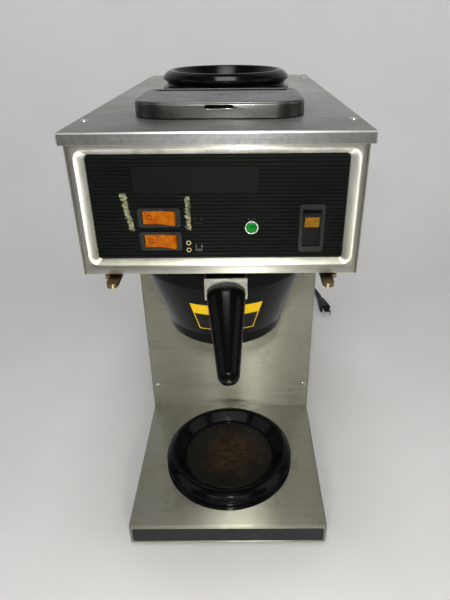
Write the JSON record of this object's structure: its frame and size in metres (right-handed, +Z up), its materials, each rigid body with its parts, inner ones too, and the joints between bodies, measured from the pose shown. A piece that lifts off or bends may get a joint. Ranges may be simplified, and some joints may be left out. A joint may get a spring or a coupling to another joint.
{
  "type": "pour-over drip coffee brewer",
  "caption": "Tall stainless pour-over coffee brewer with a slide-out filter funnel under its head, a warmer on the base and another on top, a hinged pour-in cover and rocker switches.",
  "frame": {"origin": "on the floor, at the middle of the box that the brewer and its funnel handle fill, the free cord and plug left out", "axes": "+X to the right as seen from the front, +Y from the front to the back, +Z up"},
  "size_m": [0.2975, 0.6646, 0.4549],
  "materials": {
    "stainless": "brushed",
    "bright_steel": "polished",
    "plated_steel": "zinc plated",
    "black_panel": "ribbed satin",
    "black_phenolic": "gloss",
    "black_enamel": "worn enamel",
    "orange_switch": "translucent gloss",
    "amber_lens": "translucent",
    "green_lens": "translucent",
    "label": "printed film",
    "rubber": "matt",
    "gasket": "matt silicone",
    "sheathed_element": "dull",
    "tank_steel": "satin",
    "ceramic": "glazed",
    "cord_jacket": "satin"
  },
  "bodies": {
    "brewer": {"base_shell": "stainless", "base_front_strip": "black_panel", "base_pan": "plated_steel", "feet": "rubber", "trunk_shell": "stainless", "trunk_front_panel": "stainless", "trunk_screws": "bright_steel", "rear_cover": "stainless", "rear_cover_screws": "bright_steel", "head_shell": "stainless", "head_front_frame": "stainless", "control_panel": "black_panel", "top_lid": "stainless", "lid_screws": "bright_steel", "funnel_rails": "plated_steel", "rail_screws": "bright_steel", "lower_warmer_ring": "black_phenolic", "lower_warmer_plate": "black_enamel", "lower_warmer_element": "sheathed_element", "upper_warmer_ring": "black_phenolic", "upper_warmer_plate": "black_enamel", "upper_warmer_element": "sheathed_element", "warmer_nuts": "plated_steel", "water_basin": "tank_steel", "tank_shelf": "plated_steel", "tank": "tank_steel", "tank_gasket": "gasket", "tank_lid": "tank_steel", "tank_heater": "sheathed_element", "thermostat": "sheathed_element", "limit_thermostat": "sheathed_element", "fill_tube": "tank_steel", "spray_tube": "tank_steel", "spray_head": "tank_steel", "terminal_block": "ceramic", "upper_switch_body": "black_phenolic", "lower_switch_body": "black_phenolic", "power_switch_body": "black_phenolic", "ready_lamp_bezel": "bright_steel", "ready_lamp_lens": "green_lens", "pour_collar": "stainless", "cover_hinge_pins": "bright_steel", "cord_gland": "rubber", "cord_run": "cord_jacket", "cord_coil": "cord_jacket", "cord_lead": "cord_jacket", "plug_body": "rubber", "plug_blades": "plated_steel"},
    "funnel": {"funnel_bowl": "black_phenolic", "funnel_base": "black_phenolic", "filter_grid": "tank_steel", "handle_bracket": "stainless", "funnel_handle": "black_phenolic", "handle_bolt": "plated_steel", "funnel_label": "label"},
    "cover": {"pour_cover": "bright_steel"},
    "upper_warmer_rocker": {"upper_switch_rocker": "orange_switch"},
    "lower_warmer_rocker": {"lower_switch_rocker": "orange_switch"},
    "power_rocker": {"power_switch_rocker": "black_phenolic", "power_lens": "amber_lens"}
  },
  "joints": [
    {"name": "funnel_slide", "type": "slide", "parent": "brewer", "child": "funnel", "axis": [0, -1, 0], "range_m": [0, 0.2]},
    {"name": "cover_hinge", "type": "hinge", "parent": "brewer", "child": "cover", "pos_m": [0, -0.04269, 0.4401], "axis": [-1, 0, 0], "range_deg": [0, 85]},
    {"name": "upper_warmer_switch", "type": "hinge", "parent": "brewer", "child": "upper_warmer_rocker", "pos_m": [-0.044, -0.17, 0.3733], "axis": [0, 0, 1], "range_deg": [0, 18]},
    {"name": "lower_warmer_switch", "type": "hinge", "parent": "brewer", "child": "lower_warmer_rocker", "pos_m": [-0.044, -0.17, 0.3548], "axis": [0, 0, 1], "range_deg": [0, 18]},
    {"name": "power_switch", "type": "hinge", "parent": "brewer", "child": "power_rocker", "pos_m": [0.0685, -0.17, 0.3644], "axis": [-1, 0, 0], "range_deg": [0, 18]}
  ]
}
